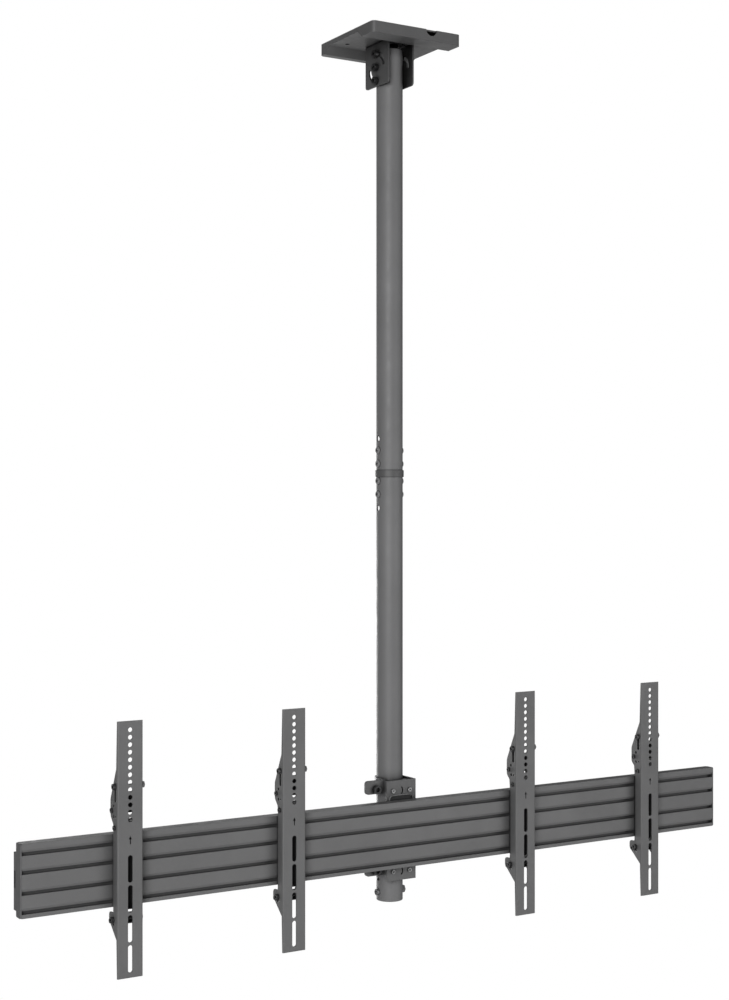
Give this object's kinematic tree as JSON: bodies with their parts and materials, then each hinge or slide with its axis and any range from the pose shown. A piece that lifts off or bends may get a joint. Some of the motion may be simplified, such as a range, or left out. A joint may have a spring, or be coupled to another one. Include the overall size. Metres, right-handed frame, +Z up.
{
  "type": "ceiling screen mount",
  "caption": "Ceiling mount with a tilting yoke, a jointed pole, a pole clamp, a long slotted rail and sliding display arms with hole columns and slots.",
  "frame": {"origin": "centre of the backplate's upper face, in the plane of the ceiling", "axes": "+Z up into the ceiling, +X to the right along the rail, -Y towards the viewer, on the side where the screens hang; the pole stands on the Z axis"},
  "size_m": [1.5, 0.1962, 1.6668],
  "materials": {
    "dark_steel": "fine-textured powder coat",
    "pole_paint": "fine-textured powder coat",
    "clamp_paint": "fine-textured powder coat",
    "rail_paint": "fine-textured powder coat",
    "arm_paint": "fine-textured powder coat",
    "hanger_paint": "fine-textured powder coat",
    "black_bolts": "fine-textured powder coat",
    "cap_plastic": "matte"
  },
  "bodies": {
    "ceiling": {"ceiling_plate": "dark_steel", "ceiling_backplate": "dark_steel", "ceiling_yoke": "dark_steel", "yoke_bolts": "black_bolts", "yoke_nuts": "black_bolts", "pivot_bolt": "black_bolts", "pivot_nut": "black_bolts"},
    "pole": {"tilt_bolts": "black_bolts", "tilt_nuts": "black_bolts", "pole_upper": "pole_paint", "pole_lower": "pole_paint", "pole_coupling": "pole_paint", "coupling_screws": "black_bolts", "stop_bolt": "black_bolts", "stop_nut": "black_bolts"},
    "carriage": {"rail": "rail_paint", "end_cap_left": "cap_plastic", "end_cap_right": "cap_plastic", "clamp_plate": "clamp_paint", "clamp_strap_upper": "clamp_paint", "clamp_strap_lower": "clamp_paint", "pole_saddles": "clamp_paint", "saddle_screws": "black_bolts", "ear_bolts": "black_bolts", "ear_nuts": "black_bolts", "rail_bolts": "black_bolts", "rail_nuts": "black_bolts"},
    "hanger_1": {"arm_1_hanger": "hanger_paint", "arm_1_bolts": "black_bolts", "arm_1_nuts": "black_bolts", "arm_1_tee_bolts": "black_bolts", "arm_1_tee_nuts": "black_bolts"},
    "arm_1": {"arm_1_channel": "arm_paint", "arm_1_lock_screws": "black_bolts"},
    "hanger_2": {"arm_2_hanger": "hanger_paint", "arm_2_bolts": "black_bolts", "arm_2_nuts": "black_bolts", "arm_2_tee_bolts": "black_bolts", "arm_2_tee_nuts": "black_bolts"},
    "arm_2": {"arm_2_channel": "arm_paint", "arm_2_lock_screws": "black_bolts"},
    "hanger_3": {"arm_3_hanger": "hanger_paint", "arm_3_bolts": "black_bolts", "arm_3_nuts": "black_bolts", "arm_3_tee_bolts": "black_bolts", "arm_3_tee_nuts": "black_bolts"},
    "arm_3": {"arm_3_channel": "arm_paint", "arm_3_lock_screws": "black_bolts"},
    "hanger_4": {"arm_4_hanger": "hanger_paint", "arm_4_bolts": "black_bolts", "arm_4_nuts": "black_bolts", "arm_4_tee_bolts": "black_bolts", "arm_4_tee_nuts": "black_bolts"},
    "arm_4": {"arm_4_channel": "arm_paint", "arm_4_lock_screws": "black_bolts"}
  },
  "joints": [
    {"name": "pole_tilt", "type": "hinge", "parent": "ceiling", "child": "pole", "pos_m": [0, 0, -0.0558], "axis": [1, 0, 0], "range_deg": [0, 80]},
    {"name": "rail_height", "type": "slide", "parent": "pole", "child": "carriage", "axis": [0, 0, 1], "range_m": [-0.015, 0.25]},
    {"name": "arm_1_along_rail", "type": "slide", "parent": "carriage", "child": "hanger_1", "axis": [1, 0, 0], "range_m": [-0.15, 0.12]},
    {"name": "arm_1_height", "type": "slide", "parent": "hanger_1", "child": "arm_1", "axis": [0, 0, 1], "range_m": [0, 0.007]},
    {"name": "arm_2_along_rail", "type": "slide", "parent": "carriage", "child": "hanger_2", "axis": [1, 0, 0], "range_m": [-0.12, 0.2]},
    {"name": "arm_2_height", "type": "slide", "parent": "hanger_2", "child": "arm_2", "axis": [0, 0, 1], "range_m": [0, 0.007]},
    {"name": "arm_3_along_rail", "type": "slide", "parent": "carriage", "child": "hanger_3", "axis": [1, 0, 0], "range_m": [-0.2, 0.12]},
    {"name": "arm_3_height", "type": "slide", "parent": "hanger_3", "child": "arm_3", "axis": [0, 0, 1], "range_m": [0, 0.007]},
    {"name": "arm_4_along_rail", "type": "slide", "parent": "carriage", "child": "hanger_4", "axis": [1, 0, 0], "range_m": [-0.12, 0.15]},
    {"name": "arm_4_height", "type": "slide", "parent": "hanger_4", "child": "arm_4", "axis": [0, 0, 1], "range_m": [0, 0.007]}
  ]
}
